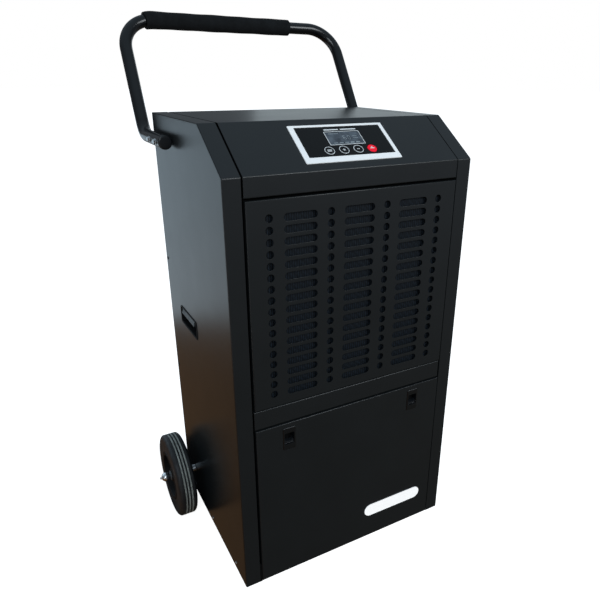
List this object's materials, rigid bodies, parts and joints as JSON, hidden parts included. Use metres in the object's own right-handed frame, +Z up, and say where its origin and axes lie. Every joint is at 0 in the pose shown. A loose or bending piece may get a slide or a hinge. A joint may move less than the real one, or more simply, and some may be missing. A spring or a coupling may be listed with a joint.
{
  "type": "commercial dehumidifier",
  "caption": "Upright sheet-metal refrigerant dehumidifier with a vented front, a sloped control panel, rear wheels and a bent-tube push handle.",
  "frame": {"origin": "on the floor, at the middle of the whole machine's width and depth", "axes": "+Z up; the front with the vents and the door faces -Y; +X is to the right for a person facing the front"},
  "size_m": [0.658, 0.5618, 1.1057],
  "materials": {
    "black_paint": "satin powder coat",
    "zinc_steel": "zinc plated",
    "gloss_black_paint": "gloss paint",
    "black_plastic": "fine moulded texture",
    "foam": "soft closed-cell foam",
    "tyre_rubber": "matt solid rubber",
    "foot_rubber": "matt rubber",
    "bezel_metal": "satin silver",
    "overlay": "glossy printed film",
    "lcd_glass": "clear window over a grey display",
    "red_button": "gloss",
    "aluminium_fins": "fine bare fins",
    "filter_mesh": "woven nylon mesh",
    "bucket_plastic": "translucent moulding",
    "float_foam": "expanded foam",
    "copper": "bare copper tube"
  },
  "bodies": {
    "cabinet": {"left_side_panel": "black_paint", "right_side_panel": "black_paint", "top_cover": "black_paint", "rear_panel": "black_paint", "front_rail": "black_paint", "base_pan": "zinc_steel", "mid_deck": "zinc_steel", "drip_tray": "black_plastic", "bucket_shelf": "zinc_steel", "evaporator": "aluminium_fins", "condenser": "aluminium_fins", "fan_shroud": "zinc_steel", "fan_motor": "zinc_steel", "motor_bracket": "zinc_steel", "compressor": "black_paint", "suction_pipe": "copper", "discharge_pipe": "copper", "control_box": "black_plastic", "display_bezel": "bezel_metal", "display_overlay": "overlay", "lcd_window": "lcd_glass", "carry_handle_left": "black_plastic", "carry_handle_right": "black_plastic", "axle_left": "zinc_steel", "axle_right": "zinc_steel", "axle_nut_left": "zinc_steel", "axle_nut_right": "zinc_steel", "foot_left": "foot_rubber", "foot_right": "foot_rubber", "push_handle": "gloss_black_paint", "handle_grip": "foam", "handle_cap_left": "black_plastic", "handle_cap_right": "black_plastic", "handle_bolt_left_front": "zinc_steel", "handle_bolt_left_rear": "zinc_steel", "handle_bolt_right_front": "zinc_steel", "handle_bolt_right_rear": "zinc_steel", "cord_gland": "black_plastic", "drain_spigot": "black_plastic"},
    "wheel_left": {"wheel_tyre_left": "tyre_rubber", "wheel_rim_left": "black_plastic"},
    "wheel_right": {"wheel_tyre_right": "tyre_rubber", "wheel_rim_right": "black_plastic"},
    "grille": {"front_grille": "black_paint", "filter_frame": "black_plastic", "filter_mesh": "filter_mesh"},
    "door": {"front_door": "black_paint", "door_hinge_rod": "zinc_steel", "latch_body_left": "black_plastic", "latch_body_right": "black_plastic"},
    "latch_left": {"latch_slide_left": "black_plastic"},
    "latch_right": {"latch_slide_right": "black_plastic"},
    "bucket": {"water_bucket": "bucket_plastic"},
    "bail": {"bucket_bail": "zinc_steel"},
    "float": {"float": "float_foam"},
    "fan": {"fan": "black_plastic"},
    "button_set": {"button_set": "black_plastic"},
    "button_up": {"button_up": "black_plastic"},
    "button_down": {"button_down": "black_plastic"},
    "button_power": {"button_power": "red_button"}
  },
  "joints": [
    {"name": "wheel_left_spin", "type": "hinge", "parent": "cabinet", "child": "wheel_left", "pos_m": [0, 0.0431, 0.0965], "axis": [1, 0, 0], "continuous": true},
    {"name": "wheel_right_spin", "type": "hinge", "parent": "cabinet", "child": "wheel_right", "pos_m": [0, 0.0431, 0.0965], "axis": [1, 0, 0], "continuous": true},
    {"name": "grille_lift_off", "type": "slide", "parent": "cabinet", "child": "grille", "axis": [0, -1, 0], "range_m": [0, 0.06]},
    {"name": "door_hinge", "type": "hinge", "parent": "cabinet", "child": "door", "pos_m": [0, -0.2734, 0.034], "axis": [1, 0, 0], "range_deg": [0, 90]},
    {"name": "latch_left_slide", "type": "slide", "parent": "door", "child": "latch_left", "axis": [0, 0, -1], "range_m": [0, 0.006], "stiffness_N_per_m": 300, "springref_m": -0.004},
    {"name": "latch_right_slide", "type": "slide", "parent": "door", "child": "latch_right", "axis": [0, 0, -1], "range_m": [0, 0.006], "stiffness_N_per_m": 300, "springref_m": -0.004},
    {"name": "bucket_slide", "type": "slide", "parent": "cabinet", "child": "bucket", "axis": [0, -1, 0], "range_m": [0, 0.15]},
    {"name": "bail_hinge", "type": "hinge", "parent": "bucket", "child": "bail", "pos_m": [0, -0.1569, 0.306], "axis": [-1, 0, 0], "range_deg": [0, 180]},
    {"name": "float_rise", "type": "slide", "parent": "bucket", "child": "float", "axis": [0, 0, 1], "range_m": [0, 0.15]},
    {"name": "fan_spin", "type": "hinge", "parent": "cabinet", "child": "fan", "pos_m": [0, -0.0994, 0.612], "axis": [0, 1, 0], "continuous": true},
    {"name": "button_set_press", "type": "slide", "parent": "cabinet", "child": "button_set", "axis": [0, 0.5751, -0.8181], "range_m": [0, 0.0008], "stiffness_N_per_m": 1500, "springref_m": -0.0005},
    {"name": "button_up_press", "type": "slide", "parent": "cabinet", "child": "button_up", "axis": [0, 0.5751, -0.8181], "range_m": [0, 0.0008], "stiffness_N_per_m": 1500, "springref_m": -0.0005},
    {"name": "button_down_press", "type": "slide", "parent": "cabinet", "child": "button_down", "axis": [0, 0.5751, -0.8181], "range_m": [0, 0.0008], "stiffness_N_per_m": 1500, "springref_m": -0.0005},
    {"name": "button_power_press", "type": "slide", "parent": "cabinet", "child": "button_power", "axis": [0, 0.5751, -0.8181], "range_m": [0, 0.0008], "stiffness_N_per_m": 1500, "springref_m": -0.0005}
  ],
  "couplings": [
    {"joint": "bucket_slide", "follows": "door_hinge", "m_per_rad": 0.095}
  ]
}
